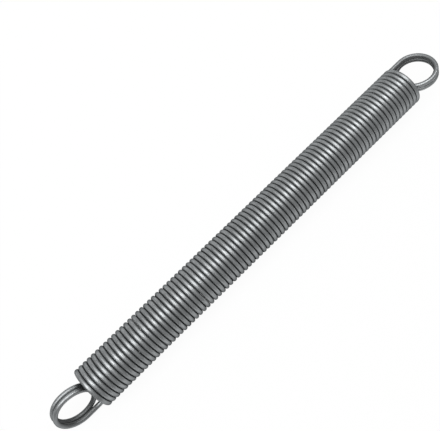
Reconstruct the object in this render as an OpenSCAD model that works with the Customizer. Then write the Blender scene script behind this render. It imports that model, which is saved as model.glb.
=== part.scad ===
// Extension spring made of one length of round steel wire.
// The body is close wound to the right. At each end the wire is bent up square to the
// last turn and wound into a double loop of a turn and a half, whose cut end lies inside
// the mouth of the body. The spring lies on its side: its axis is parallel to X and it
// touches Z = 0.

/* [Wire] */
// Diameter of the wire
wire_d = 1.8; // [1.2:0.1:2.6]
// Air between one turn and the next
turn_gap = 0.02; // [0.02:0.02:0.4]

/* [Body] */
// Diameter of the body's turns, from wire centre to wire centre
coil_d = 14.56; // [12:0.02:24]
// Whole turns in the body, before its last quarter turn
body_turns = 85; // [10:1:100]

/* [End loops] */
// Diameter of the loops, from wire centre to wire centre
loop_d = 14.56; // [12:0.02:24]
// Distance from the body's last wire centre to the middle of a loop, along the spring
loop_reach = 7.28; // [6.5:0.02:16]
// Radius of the bend that leads out of the body, at the wire's centre
bend_r = 1.82; // [1.6:0.02:3]
// Angle that the cut end runs on past the loop's third half turn
tail_angle = 68; // [5:1:70]

/* [Pose] */
// Roll of the lying spring about its own axis
roll = 242; // [0:1:359]

/* [Hidden] */
wire_r = wire_d / 2;
pitch = wire_d + turn_gap;
coil_r = coil_d / 2;
loop_r = loop_d / 2;
// A half turn is a flat arc, tilted so that it climbs half a pitch
coil_tilt = asin(pitch / 4 / coil_r);
loop_tilt = asin(pitch / 4 / loop_r);
loop_half_turns = 3;
first_bend = 90;
last_bend = 90 - coil_tilt;
body_l = (body_turns + 0.25) * pitch;
// The tilt makes the body a hair narrower along its own X axis than along its Y axis
lie_h = norm([coil_r * cos(coil_tilt) * sin(roll), coil_r * cos(roll)]) + wire_r;
arc_facets = 96;
wire_facets = 24;
// Every second length of wire runs into its neighbours by lap_l. It is thinner by a
// hair, lap_step on the radius, so that the lengths always join up into one solid
lap_l = 0.03;
lap_step = 0.002;

// Round wire bent to an arc of radius r, from the X axis towards the Y axis. The wire's
// own circle starts at the angle seam from the outside of the arc
module bent_wire(r, angle, seam, lapped = false) {
  lap_angle = lapped ? lap_l / r * 180 / PI : 0;
  rotate_extrude(angle = angle + 2 * lap_angle, start = -lap_angle, $fn = arc_facets)
    translate([r, 0])
      rotate([0, 0, seam])
        circle(r = lapped ? wire_r - lap_step : wire_r, $fn = wire_facets);
}

// Half turns of a coil, then its cut end. The wire comes in at the origin along Y, and the
// coil's axis is on its -X side. Each half turn rolls the seam on by twice the tilt
module winding(r, tilt, half_turns, tail, seam) {
  rotate([0, tilt, 0])
    translate([-r, 0, 0]) {
      bent_wire(r, half_turns > 0 ? 180 : tail, seam + tilt, half_turns % 2 == 1);
      if (half_turns > 0)
        translate([-r, 0, 0])
          rotate([0, -tilt, 0])
            rotate([0, 0, 180])
              winding(r, tilt, half_turns - 1, tail, seam + 2 * tilt);
    }
}

// Bend, shank and double loop. The wire comes in at the origin along Y, with the spring's
// axis on its -X side, and the loop stands out along Z
module end_loop(bend_angle, seam) {
  shank_l = loop_reach - bend_r * sin(bend_angle);
  translate([0, 0, bend_r])
    rotate([0, 90, 0]) {
      bent_wire(bend_r, bend_angle, 90 + seam, lapped = true);
      rotate([0, 0, bend_angle])
        translate([bend_r, 0, 0])
          rotate([0, -90, -90]) {
            rotate([0, 0, -seam])
              cylinder(d = wire_d, h = shank_l, $fn = wire_facets);
            translate([0, 0, shank_l])
              rotate([90, 0, 0])
                winding(loop_r, loop_tilt, loop_half_turns, tail_angle, seam);
          }
    }
}

// Close-wound body about Z, a flat half turn at a time
module coils() {
  for (k = [0 : 2 * body_turns - 1])
    translate([0, 0, k * pitch / 2])
      rotate([0, 0, 180 * k])
        rotate([0, coil_tilt, 0])
          bent_wire(coil_r, 180, (2 * k + 1) * coil_tilt, lapped = k % 2 == 1);
}

module spring() {
  last_seam = (4 * body_turns + 1) * coil_tilt;
  color("slategray")
    translate([pitch / 4 - body_l / 2, 0, lie_h])
      rotate([roll, 0, 0])
        rotate([0, 90, 0])
          rotate([0, 0, 90]) {
            coils();
            rotate([0, coil_tilt, 0])
              translate([coil_r, 0, 0])
                rotate([0, -coil_tilt, 0])
                  rotate([180, 0, 0])
                    end_loop(first_bend, 0);
            translate([0, 0, body_turns * pitch])
              rotate([0, coil_tilt, 0]) {
                bent_wire(coil_r, 90, last_seam);
                rotate([0, 0, 90])
                  translate([coil_r, 0, 0])
                    end_loop(last_bend, last_seam);
              }
          }
}

spring();
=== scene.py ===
"""Extension spring of round steel wire, with a double loop at each end, on a pale floor.

The wire is swept once from cut end to cut end, along the same flat arcs and straights as the
frame's solid, and takes that solid's place. Angles are in degrees. The wire's sizes are in
millimetres, and those of the floor and the lamps in metres.
"""

import logging
import math
from dataclasses import dataclass, replace
from enum import Enum

import bmesh
import bpy
from mathutils import Matrix, Vector

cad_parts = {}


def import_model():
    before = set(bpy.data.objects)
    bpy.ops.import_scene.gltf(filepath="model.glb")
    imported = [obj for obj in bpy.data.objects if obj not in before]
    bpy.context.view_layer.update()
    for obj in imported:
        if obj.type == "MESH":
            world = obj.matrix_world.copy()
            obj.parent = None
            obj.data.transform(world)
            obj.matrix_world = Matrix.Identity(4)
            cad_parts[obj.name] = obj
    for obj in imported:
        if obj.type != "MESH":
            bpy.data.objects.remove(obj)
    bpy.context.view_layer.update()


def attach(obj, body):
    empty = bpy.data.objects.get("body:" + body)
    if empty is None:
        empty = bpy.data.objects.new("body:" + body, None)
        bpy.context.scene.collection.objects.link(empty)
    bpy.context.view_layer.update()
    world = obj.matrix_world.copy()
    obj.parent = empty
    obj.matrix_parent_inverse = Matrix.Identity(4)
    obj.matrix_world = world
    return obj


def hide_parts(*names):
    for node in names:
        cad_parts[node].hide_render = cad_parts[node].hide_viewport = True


LOG = logging.getLogger("spring")
MM = 0.001
UNWOUND = "unwound"
OUTSIDE = "outside"
END_SLOT = 1
Pair = tuple[float, float]
Triple = tuple[float, float, float]


def turn(axis: str, degrees: float) -> Matrix:
    """Return a turn about an axis, as a 4x4 matrix."""
    return Matrix.Rotation(math.radians(degrees), 4, axis)


def shift(x: float, y: float, z: float) -> Matrix:
    """Return a shift in millimetres, as a 4x4 matrix in metres."""
    return Matrix.Translation(Vector((x, y, z)) * MM)


def direction(azimuth: float, elevation: float) -> Vector:
    """Return the way from the object to a lamp, a camera or a part of the room."""
    around, up = math.radians(azimuth), math.radians(elevation)
    flat = math.cos(up)
    return Vector((math.sin(around) * flat, -math.cos(around) * flat, math.sin(up)))


def shade(tone: Triple, share: float = 1.0) -> tuple[float, ...]:
    """Return a tone as a socket's colour, darkened or lightened by a share."""
    return tuple(min(1.0, part * share) for part in tone) + (1.0,)


# Shader maths


class Value:
    """One number that changes over a surface, so that shader maths reads as an expression."""

    def __init__(self, shader: "Shader", socket: bpy.types.NodeSocket) -> None:
        """Wrap a node's output socket."""
        self.shader = shader
        self.socket = socket

    def _math(self, operation: str, *values: "Value | float") -> "Value":
        """Add a Math node.

        Args:
            operation: the node's operation.
            values: its inputs, in order.

        Returns:
            The node's result.
        """
        links = dict(enumerate(values))
        return self.shader.add("ShaderNodeMath", {"operation": operation}, links)

    def __add__(self, other: "Value | float") -> "Value":
        """Return the sum."""
        return self._math("ADD", self, other)

    __radd__ = __add__

    def __sub__(self, other: "Value | float") -> "Value":
        """Return the difference."""
        return self._math("SUBTRACT", self, other)

    def __rsub__(self, other: float) -> "Value":
        """Return the difference from a number."""
        return self._math("SUBTRACT", other, self)

    def __mul__(self, other: "Value | float") -> "Value":
        """Return the product."""
        return self._math("MULTIPLY", self, other)

    __rmul__ = __mul__

    def between(self, low: float, high: float) -> "Value":
        """Stretch the value smoothly over a range, and hold it outside that range.

        Args:
            low: the value that becomes 0.
            high: the value that becomes 1.

        Returns:
            The stretched value.
        """
        settings = {"interpolation_type": "SMOOTHSTEP"}
        links = {"Value": self, "From Min": low, "From Max": high}
        return self.shader.add("ShaderNodeMapRange", settings, links)


class Shader:
    """The node tree of a material or of the world."""

    def __init__(self, owner: bpy.types.Material | bpy.types.World) -> None:
        """Empty a node tree.

        Args:
            owner: the material or world that has the tree.
        """
        self.owner = owner
        owner.use_nodes = True
        self.tree = owner.node_tree
        self.tree.nodes.clear()

    def add(
        self,
        kind: str,
        settings: dict[str, object] | None = None,
        links: dict[str | int, object] | None = None,
        output: str | int = 0,
    ) -> Value:
        """Add any node.

        Args:
            kind: the node's type.
            settings: its properties, set before its sockets.
            links: the values or links of its input sockets, by name or number.
            output: the output that is wanted.

        Returns:
            That output.
        """
        node = self.tree.nodes.new(kind)
        for name, setting in (settings or {}).items():
            setattr(node, name, setting)
        for name, value in (links or {}).items():
            if isinstance(value, Value):
                self.tree.links.new(value.socket, node.inputs[name])
            else:
                node.inputs[name].default_value = value
        return Value(self, node.outputs[output] if node.outputs else None)

    def noise(self, vector: Value, grain: Triple, detail: float = 2.0) -> Value:
        """Add a noise.

        Args:
            vector: the place to read it at.
            grain: how many of its features fit in a metre, along each axis.
            detail: its octaves.

        Returns:
            The noise, from 0 to 1.
        """
        links = {"Vector": vector, "Scale": grain}
        place = self.add("ShaderNodeMapping", {"vector_type": "POINT"}, links)
        links = {"Vector": place, "Scale": 1.0, "Detail": detail}
        return self.add("ShaderNodeTexNoise", None, links)

    def mix(self, factor: Value, low: object, high: object) -> Value:
        """Return a colour that goes from low to high as factor goes from 0 to 1."""
        settings = {"data_type": "RGBA"}
        return self.add("ShaderNodeMix", settings, {0: factor, 6: low, 7: high}, 2)

    def finish(self, surface: Value, output: str = "ShaderNodeOutputMaterial") -> None:
        """Link the finished surface to the tree's output node."""
        self.add(output, None, {"Surface": surface})


@dataclass(frozen=True)
class DrawnSteel:
    """Drawn steel wire: grey and semi-gloss, with die lines along it.

    The outermost line of each turn is rubbed, and the grooves between turns are rougher and get
    painted shade: a dark tone where the wire faces in, away from its outermost line. Every grain
    is given along the wire first and then twice across it. A band is the range over which
    something goes from none to full.
    """

    tone: Triple = (0.34, 0.354, 0.36)
    grey_share: float = 0.82
    light_share: float = 1.16
    tone_band: Pair = (0.3, 0.7)
    rubbed_share: float = 1.45
    rubbed_cover: float = 0.45
    rubbed_band: Pair = (0.72, 1.0)
    scuff_band: Pair = (0.45, 0.7)
    # Painted shade in the grooves between turns: its dark tone, its share, and the band over
    # which the wire comes out of it
    groove_shade_tone: Triple = (0.075, 0.077, 0.076)
    groove_shade_cover: float = 0.76
    unshaded_band: Pair = (0.1, 0.85)
    edge_tint: float = 0.08
    roughness: float = 0.42
    batch_grain: Triple = (22.0, 150.0, 150.0)
    mottle_grain: Triple = (420.0, 900.0, 900.0)
    line_grain: Triple = (70.0, 6500.0, 6500.0)
    scuff_grain: Triple = (260.0, 2600.0, 2600.0)
    relief: float = 0.00003

    def material(self) -> bpy.types.Material:
        """Make the material.

        Returns:
            The material.
        """
        shader = Shader(bpy.data.materials.new("drawn_steel"))
        place = shader.add("ShaderNodeAttribute", {"attribute_name": UNWOUND}, output="Vector")
        outside = shader.add("ShaderNodeAttribute", {"attribute_name": OUTSIDE}, output="Fac")
        batch = shader.noise(place, self.batch_grain)
        mottle = shader.noise(place, self.mottle_grain, detail=4.0)
        lines = shader.noise(place, self.line_grain, detail=3.0)
        scuffs = shader.noise(place, self.scuff_grain)
        rubbed = outside.between(*self.rubbed_band) * scuffs.between(*self.scuff_band)
        # Painted shade between turns: strongest where the wire faces in, none on its outermost
        # line
        groove_shade = 1.0 - outside.between(*self.unshaded_band)
        blend = (batch * 0.5 + mottle * 0.25 + lines * 0.25).between(*self.tone_band)
        light = shade(self.tone, self.light_share)
        base = shader.mix(blend, shade(self.tone, self.grey_share), light)
        base = shader.mix(rubbed * self.rubbed_cover, base, shade(self.tone, self.rubbed_share))
        # Painted shade: the grooves are darkened towards the dark shade tone
        base = shader.mix(groove_shade * self.groove_shade_cover, base, shade(self.groove_shade_tone))
        rough = self.roughness + (mottle - 0.5) * 0.1 + (lines - 0.5) * 0.06
        rough = rough + groove_shade * 0.12 - rubbed * 0.06
        height = lines * 0.6 + scuffs * 0.4
        links = {"Strength": 0.03, "Distance": self.relief, "Height": height}
        bump = shader.add("ShaderNodeBump", None, links)
        links = {
            "Base Color": base,
            "Metallic": 1.0,
            "Specular Tint": (self.edge_tint,) * 3 + (1.0,),
            "Roughness": rough,
            "Normal": bump,
        }
        shader.finish(shader.add("ShaderNodeBsdfPrincipled", None, links))
        return shader.owner


@dataclass(frozen=True)
class ShearedSteel:
    """The wire's cut ends: raw and lighter, with the shear's lines across them."""

    tone: Triple = (0.5, 0.49, 0.47)
    dark_share: float = 0.55
    tone_band: Pair = (0.3, 0.7)
    roughness: float = 0.38
    shear_grain: Triple = (5200.0, 900.0, 2600.0)
    blotch_grain: Triple = (1300.0, 1300.0, 1300.0)
    relief: float = 0.00005

    def material(self) -> bpy.types.Material:
        """Make the material.

        Returns:
            The material.
        """
        shader = Shader(bpy.data.materials.new("sheared_steel"))
        place = shader.add("ShaderNodeTexCoord", output="Object")
        grain = shader.noise(place, self.shear_grain, detail=3.0)
        blotch = shader.noise(place, self.blotch_grain, detail=3.0)
        blend = (grain * 0.6 + blotch * 0.4).between(*self.tone_band)
        base = shader.mix(blend, shade(self.tone, self.dark_share), shade(self.tone))
        links = {"Strength": 0.3, "Distance": self.relief, "Height": grain}
        bump = shader.add("ShaderNodeBump", None, links)
        links = {
            "Base Color": base,
            "Metallic": 1.0,
            "Roughness": self.roughness + blotch * 0.2,
            "Normal": bump,
        }
        shader.finish(shader.add("ShaderNodeBsdfPrincipled", None, links))
        return shader.owner


# The wire


class SpringEnd(Enum):
    """The two ends of the body."""

    FIRST = "first"
    SECOND = "second"


@dataclass(frozen=True)
class WireArc:
    """A flat arc of wire, from its own frame's X axis towards the Y axis.

    Its shade depth says how much painted shade the wire gets away from its outermost line,
    for the shade that falls between turns: 1 for a turn that lies between two others.
    """

    frame: Matrix
    radius: float
    angle: float
    shade_depth: float = 1.0

    @property
    def length(self) -> float:
        """Length of wire."""
        return self.radius * math.radians(self.angle)


@dataclass(frozen=True)
class WireStraight:
    """A straight length of wire along its own frame's Z axis."""

    frame: Matrix
    length: float
    # How much painted shade the wire gets away from its outermost line, as for an arc
    shade_depth: float = 1.0


@dataclass(frozen=True)
class Winding:
    """Where a length of wire starts: along the wire, and around it.

    The seam is the angle of the wire's own zero from the outside of its arc, and way is 1
    or -1, the way in which the distance along the wire grows.
    """

    along: float
    seam: float
    way: float

    def after(self, length: float) -> "Winding":
        """Return the same winding, a length of wire further on."""
        return replace(self, along=self.along + self.way * length)


@dataclass
class WireSweep:
    """Sweeps the wire's round profile along arcs and straights, and joins the lengths.

    It also writes where each point was on the wire before it was wound, and how far it
    faces away from the middle of its own arc, which the material turns into painted shade
    between turns. The slack at an arc's start is in radians.
    """

    wire_r: float
    sides: int
    steps_per_turn: int
    least_steps: int = 12
    straight_cuts: int = 3
    start_slack: float = 0.1
    weld: float = 0.0005

    def __post_init__(self) -> None:
        """Start an empty mesh."""
        self.mesh = self._empty()

    @staticmethod
    def _empty() -> bmesh.types.BMesh:
        """Make an empty mesh.

        Returns:
            A mesh with room for both of the wire's attributes.
        """
        mesh = bmesh.new()
        mesh.verts.layers.float_vector.new(UNWOUND)
        mesh.verts.layers.float.new(OUTSIDE)
        return mesh

    def _start(
        self, place: Matrix, seam: float
    ) -> tuple[bmesh.types.BMesh, list[bmesh.types.BMEdge]]:
        """Start a length of wire.

        Args:
            place: the frame of its first ring, whose Z axis runs along the wire.
            seam: angle of the ring's first point from that frame's X axis.

        Returns:
            A new mesh with the ring in it, and the ring's edges.
        """
        mesh = self._empty()
        bmesh.ops.create_circle(
            mesh,
            cap_ends=False,
            segments=self.sides,
            radius=self.wire_r * MM,
            matrix=place @ turn("Z", seam),
        )
        return mesh, list(mesh.edges)

    def _write(
        self,
        mesh: bmesh.types.BMesh,
        vert: bmesh.types.BMVert,
        along: float,
        around: float,
        outside: float,
    ) -> None:
        """Write a point's attributes.

        Args:
            mesh: the mesh that the point is in.
            vert: the point.
            along: its distance along the wire, in metres.
            around: its angle around the wire, in radians.
            outside: how far it faces outwards: 1 on the outermost line, and less away from it,
            as far as the length's depth of painted shade allows; the material paints shade by it.
        """
        reach = self.wire_r * MM
        unwound = Vector((along, reach * math.cos(around), reach * math.sin(around)))
        vert[mesh.verts.layers.float_vector[UNWOUND]] = unwound
        vert[mesh.verts.layers.float[OUTSIDE]] = outside

    def _join(self, mesh: bmesh.types.BMesh) -> None:
        """Add a length of wire to the others.

        Args:
            mesh: the length's mesh, which is freed.
        """
        data = bpy.data.meshes.new("length")
        mesh.to_mesh(data)
        mesh.free()
        self.mesh.from_mesh(data)
        bpy.data.meshes.remove(data)

    def arc(self, arc: WireArc, winding: Winding) -> Winding:
        """Spin the profile round an arc.

        Args:
            arc: the arc.
            winding: the state of the wire at its start.

        Returns:
            The state of the wire at its end.
        """
        start = arc.frame @ shift(arc.radius, 0, 0) @ turn("X", 90)
        mesh, ring = self._start(start, winding.seam)
        bmesh.ops.spin(
            mesh,
            geom=ring,
            cent=arc.frame.translation,
            axis=arc.frame.to_3x3() @ Vector((0, 0, 1)),
            angle=math.radians(arc.angle),
            steps=max(self.least_steps, round(self.steps_per_turn * arc.angle / 360)),
        )
        back = arc.frame.inverted()
        for vert in mesh.verts:
            place = back @ vert.co
            run = math.atan2(place.y, place.x)
            # A point at or past half a turn can come out negative, and so can one at the
            # start, by a rounding error, which is left as it is
            if run < -self.start_slack:
                run += math.tau
            angle = math.atan2(place.z, math.hypot(place.x, place.y) - arc.radius * MM)
            along = (winding.along + winding.way * run * arc.radius) * MM
            # Facing outwards, eased by the arc's depth of painted shade, for the painted shade
            # between turns
            outside = 1 - arc.shade_depth * (1 - math.cos(angle))
            self._write(mesh, vert, along, angle - math.radians(winding.seam), outside)
        self._join(mesh)
        return winding.after(arc.length)

    def straight(self, run: WireStraight, winding: Winding) -> Winding:
        """Extrude the profile along a straight.

        Args:
            run: the straight.
            winding: the state of the wire at its start.

        Returns:
            The state of the wire at its end.
        """
        mesh, ring = self._start(run.frame, -winding.seam)
        way = run.frame.to_3x3() @ Vector((0, 0, 1))
        made = bmesh.ops.extrude_edge_only(mesh, edges=ring)["geom"]
        far = [part for part in made if isinstance(part, bmesh.types.BMVert)]
        bmesh.ops.translate(mesh, verts=far, vec=way * run.length * MM)
        long_edges = [edge for edge in mesh.edges if sum(vert in far for vert in edge.verts) == 1]
        bmesh.ops.subdivide_edges(mesh, edges=long_edges, cuts=self.straight_cuts)
        back = run.frame.inverted()
        for vert in mesh.verts:
            place = back @ vert.co
            angle = math.atan2(place.y, place.x)
            along = winding.along * MM + winding.way * place.z
            # Facing outwards, eased by the straight's depth of painted shade, for the painted
            # shade between turns
            outside = 1 - run.shade_depth * (1 - math.cos(angle))
            self._write(mesh, vert, along, -angle - math.radians(winding.seam), outside)
        self._join(mesh)
        return winding.after(run.length)

    def finish(self, name: str, burr_w: float, burr_h: float) -> bpy.types.Object:
        """Weld the lengths, close the two cut ends and make the wire an object.

        Args:
            name: the object's name.
            burr_w: width of the burr round each cut end.
            burr_h: height of that burr.

        Returns:
            The wire, smooth but for its cut ends.
        """
        bmesh.ops.remove_doubles(self.mesh, verts=self.mesh.verts, dist=self.weld * MM)
        open_edges = [edge for edge in self.mesh.edges if edge.is_boundary]
        ends = bmesh.ops.holes_fill(self.mesh, edges=open_edges, sides=0)["faces"]
        for face in ends:
            face.material_index = END_SLOT
        inset = bmesh.ops.inset_individual(
            self.mesh,
            faces=ends,
            thickness=burr_w * MM,
            depth=burr_h * MM,
            use_even_offset=True,
        )
        for face in inset["faces"]:
            face.material_index = END_SLOT
        bmesh.ops.recalc_face_normals(self.mesh, faces=self.mesh.faces)
        for face in self.mesh.faces:
            face.smooth = face.material_index != END_SLOT
        for edge in self.mesh.edges:
            edge.smooth = all(face.smooth for face in edge.link_faces)
        LOG.info("%s: %d cut ends", name, len(ends))
        data = bpy.data.meshes.new(name)
        self.mesh.to_mesh(data)
        self.mesh.free()
        wire = bpy.data.objects.new(name, data)
        bpy.context.scene.collection.objects.link(wire)
        return wire


@dataclass
class SpringWire:
    """The whole spring: a body wound to the right and a double loop at each end."""

    wire_d: float = 1.8
    turn_gap: float = 0.02
    coil_d: float = 14.56
    body_turns: int = 85
    last_arc: float = 90.0
    loop_d: float = 14.56
    loop_reach: float = 7.28
    loop_half_turns: int = 3
    bend_r: float = 1.82
    tail_angle: float = 68.0
    roll: float = 242.0
    sides: int = 16
    steps_per_turn: int = 48
    burr_w: float = 0.12
    burr_h: float = 0.03
    # Painted shade on the loops, as a share of that between the body's turns
    loop_shade_depth: float = 0.39
    finish: DrawnSteel = DrawnSteel()
    end_finish: ShearedSteel = ShearedSteel()

    @property
    def pitch(self) -> float:
        """Distance from one turn to the next."""
        return self.wire_d + self.turn_gap

    def tilt(self, radius: float) -> float:
        """Return the angle at which a half turn climbs by half a pitch."""
        return math.degrees(math.asin(self.pitch / 4 / radius))

    def axis_frame(self) -> Matrix:
        """Find the body's place, as the spring lies on the floor.

        Returns:
            A frame at the start of the body, with the body's axis as Z.
        """
        coil_r = self.coil_d / 2
        tilt = math.radians(self.tilt(coil_r))
        roll = math.radians(self.roll)
        height = coil_r * math.hypot(math.cos(tilt) * math.sin(roll), math.cos(roll))
        body_l = (self.body_turns + self.last_arc / 360) * self.pitch
        place = shift(self.pitch / 4 - body_l / 2, 0, height + self.wire_d / 2)
        return place @ turn("X", self.roll) @ turn("Y", 90) @ turn("Z", 90)

    def body_arcs(self) -> list[WireArc]:
        """List the body's arcs.

        Returns:
            Its half turns and its last quarter turn, in order along the wire.
        """
        frame = self.axis_frame()
        radius = self.coil_d / 2
        lean = turn("Y", self.tilt(radius))
        arcs = []
        for number in range(2 * self.body_turns + 1):
            climb = shift(0, 0, number * self.pitch / 2)
            place = frame @ climb @ turn("Z", 180 * number) @ lean
            angle = 180.0 if number < 2 * self.body_turns else self.last_arc
            arcs.append(WireArc(place, radius, angle))
        return arcs

    def loop_frame(self, end: SpringEnd) -> Matrix:
        """Find the place where a loop's bend leaves the body.

        Args:
            end: the end of the body.

        Returns:
            A frame whose Y axis runs along the wire and whose X axis points away from the
            spring's axis.
        """
        frame = self.axis_frame()
        coil_r = self.coil_d / 2
        lean = turn("Y", self.tilt(coil_r))
        if end is SpringEnd.FIRST:
            return frame @ lean @ shift(coil_r, 0, 0) @ lean.inverted() @ turn("X", 180)
        top = frame @ shift(0, 0, self.body_turns * self.pitch)
        return top @ lean @ turn("Z", self.last_arc) @ shift(coil_r, 0, 0)

    def add_loop(self, sweep: WireSweep, end: SpringEnd, winding: Winding) -> Winding:
        """Sweep a double loop on from one end of the body.

        Args:
            sweep: the sweep.
            end: the end of the body.
            winding: the state of the wire there, with its seam from the outside of the body.

        Returns:
            The state of the wire at its cut end.
        """
        bend = 90.0 if end is SpringEnd.FIRST else 90.0 - self.tilt(self.coil_d / 2)
        corner = self.loop_frame(end) @ shift(0, 0, self.bend_r) @ turn("Y", 90)
        seam = winding.seam
        elbow = WireArc(corner, self.bend_r, bend, self.loop_shade_depth)
        winding = sweep.arc(elbow, replace(winding, seam=90 + seam))
        bend_end = corner @ turn("Z", bend) @ shift(self.bend_r, 0, 0)
        foot = bend_end @ turn("Z", -90) @ turn("Y", -90)
        reach = self.loop_reach - self.bend_r * math.sin(math.radians(bend))
        shank = WireStraight(foot, reach, self.loop_shade_depth)
        winding = sweep.straight(shank, replace(winding, seam=seam))
        place = foot @ shift(0, 0, reach) @ turn("X", 90)
        return self.wind_loop(sweep, place, winding)

    def wind_loop(self, sweep: WireSweep, place: Matrix, winding: Winding) -> Winding:
        """Sweep a loop's half turns and its cut end.

        Args:
            sweep: the sweep.
            place: the frame of the wire there, whose Y axis runs along the wire and whose X
                axis points away from the loop's middle.
            winding: the state of the wire there, with its seam from the outside of the loop.

        Returns:
            The state of the wire at its cut end.
        """
        radius = self.loop_d / 2
        tilt = self.tilt(radius)
        seam = winding.seam
        for number, angle in enumerate([180.0] * self.loop_half_turns + [self.tail_angle]):
            place = place @ turn("Y", tilt) @ shift(-radius, 0, 0)
            length = WireArc(place, radius, angle, self.loop_shade_depth)
            winding = sweep.arc(length, replace(winding, seam=seam + (2 * number + 1) * tilt))
            place = place @ shift(-radius, 0, 0) @ turn("Y", -tilt) @ turn("Z", 180)
        return winding

    def build(self) -> bpy.types.Object:
        """Sweep, dress and place the wire.

        Returns:
            The wire.
        """
        sweep = WireSweep(self.wire_d / 2, self.sides, self.steps_per_turn)
        tilt = self.tilt(self.coil_d / 2)
        start = Winding(0.0, 0.0, -1.0)
        winding = Winding(0.0, tilt, 1.0)
        for number, arc in enumerate(self.body_arcs()):
            winding = sweep.arc(arc, replace(winding, seam=(2 * number + 1) * tilt))
        body_wire = winding.along
        far = self.add_loop(sweep, SpringEnd.SECOND, winding).along
        near = self.add_loop(sweep, SpringEnd.FIRST, start).along
        LOG.info("%.0f mm of wire, %.0f mm of it in the body", far - near, body_wire)
        wire = sweep.finish("spring_wire", self.burr_w, self.burr_h)
        wire.data.materials.append(self.finish.material())
        wire.data.materials.append(self.end_finish.material())
        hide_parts("spring")
        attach(wire, "root")
        return wire


# The studio


@dataclass(frozen=True)
class PaleFloor:
    """A plain pale floor that stays near white and keeps the object's shadow.

    Its glow is the share of plain white that the camera and reflections see of it.
    """

    half_width: float = 1.6
    tone: Triple = (0.9, 0.9, 0.9)
    glow: float = 0.95

    def build(self) -> bpy.types.Object:
        """Make the floor.

        Returns:
            The floor.
        """
        mesh = bmesh.new()
        bmesh.ops.create_grid(mesh, x_segments=1, y_segments=1, size=self.half_width)
        data = bpy.data.meshes.new("floor")
        mesh.to_mesh(data)
        mesh.free()
        floor = bpy.data.objects.new("floor", data)
        bpy.context.scene.collection.objects.link(floor)
        data.materials.append(self.material())
        return floor

    def material(self) -> bpy.types.Material:
        """Make the floor's material.

        Returns:
            The material.
        """
        shader = Shader(bpy.data.materials.new("floor_white"))
        camera = shader.add("ShaderNodeLightPath", output="Is Camera Ray")
        glossy = Value(shader, camera.socket.node.outputs["Is Glossy Ray"])
        clear = Value(shader, camera.socket.node.outputs["Is Transmission Ray"])
        seen = (camera + glossy + clear) * self.glow
        matt = shader.add("ShaderNodeBsdfDiffuse", None, {"Color": shade(self.tone)})
        links = {"Color": (1.0, 1.0, 1.0, 1.0), "Strength": 1.0}
        white = shader.add("ShaderNodeEmission", None, links)
        shader.finish(shader.add("ShaderNodeMixShader", None, {0: seen, 1: matt, 2: white}))
        return shader.owner


@dataclass(frozen=True)
class StudioRoom:
    """The room's own light: pale walls and a softly brighter patch on the near side.

    The patch is full where the cosine of the angle to its middle is near, and gone where it
    is far.
    """

    wall: float = 0.315
    patch: float = 0.46
    elevation: float = 52.0
    far: float = 0.6
    near: float = 0.97

    def build(self) -> None:
        """Set the world's nodes."""
        world = bpy.data.worlds.new("studio")
        bpy.context.scene.world = world
        shader = Shader(world)
        place = shader.add("ShaderNodeTexCoord", output="Generated")
        links = {0: place, 1: direction(0.0, self.elevation)}
        dot = shader.add("ShaderNodeVectorMath", {"operation": "DOT_PRODUCT"}, links, "Value")
        level = self.wall + dot.between(self.far, self.near) * (self.patch - self.wall)
        links = {"Color": (1.0, 1.0, 1.0, 1.0), "Strength": level}
        light = shader.add("ShaderNodeBackground", None, links)
        shader.finish(light, "ShaderNodeOutputWorld")


@dataclass(frozen=True)
class Softbox:
    """A flat lamp that faces the object, with its length parallel to the spring.

    Its level is the brightness of its face, where 1 is plain white.
    """

    name: str
    azimuth: float
    elevation: float
    distance: float
    length: float
    width: float
    level: float

    def build(self) -> bpy.types.Object:
        """Make the lamp.

        Returns:
            The lamp.
        """
        data = bpy.data.lights.new(self.name, "AREA")
        data.shape = "RECTANGLE"
        data.size = self.length
        data.size_y = self.width
        data.energy = self.level * math.pi * self.length * self.width
        lamp = bpy.data.objects.new(self.name, data)
        bpy.context.scene.collection.objects.link(lamp)
        way = direction(self.azimuth, self.elevation)
        across = way.cross(Vector((1, 0, 0))).normalized()
        facing = Matrix((across.cross(way), across, way)).transposed()
        lamp.matrix_world = Matrix.Translation(way * self.distance) @ facing.to_4x4()
        return lamp


@dataclass(frozen=True)
class PhotoCamera:
    """The camera, at the photograph's viewing angle."""

    azimuth: float = -44.512
    elevation: float = 76.606
    place: Triple = (-41.168, -23.984, 220.97)
    lens: float = 50.74
    sensor: float = 36.0
    nearest: float = 10.0

    def build(self) -> bpy.types.Object:
        """Make the camera and give it to the scene.

        Returns:
            The camera.
        """
        data = bpy.data.cameras.new("camera")
        data.lens = self.lens
        data.sensor_width = self.sensor
        data.clip_start = self.nearest * MM
        camera = bpy.data.objects.new("camera", data)
        bpy.context.scene.collection.objects.link(camera)
        camera.location = Vector(self.place) * MM
        camera.rotation_mode = "QUATERNION"
        way = direction(self.azimuth, self.elevation)
        camera.rotation_quaternion = (-way).to_track_quat("-Z", "Y")
        bpy.context.scene.camera = camera
        return camera


KEY = Softbox(
    name="key",
    azimuth=180.0,
    elevation=77.5,
    distance=0.8,
    length=2.0,
    width=0.36,
    level=3.4,
)
FILL = Softbox(
    name="fill",
    azimuth=180.0,
    elevation=42.0,
    distance=1.1,
    length=1.4,
    width=0.9,
    level=0.7,
)


def main() -> None:
    """Build the scene and report its pieces."""
    logging.basicConfig(level=logging.INFO, format="%(name)s: %(message)s")
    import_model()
    PhotoCamera().build()
    for piece in (SpringWire().build(), PaleFloor().build()):
        LOG.info("%s: %d faces", piece.name, len(piece.data.polygons))
    StudioRoom().build()
    for lamp in (KEY.build(), FILL.build()):
        LOG.info("%s: %.2f W", lamp.name, lamp.data.energy)
    bpy.context.scene.view_settings.view_transform = "Standard"


if __name__ == "__main__":
    main()
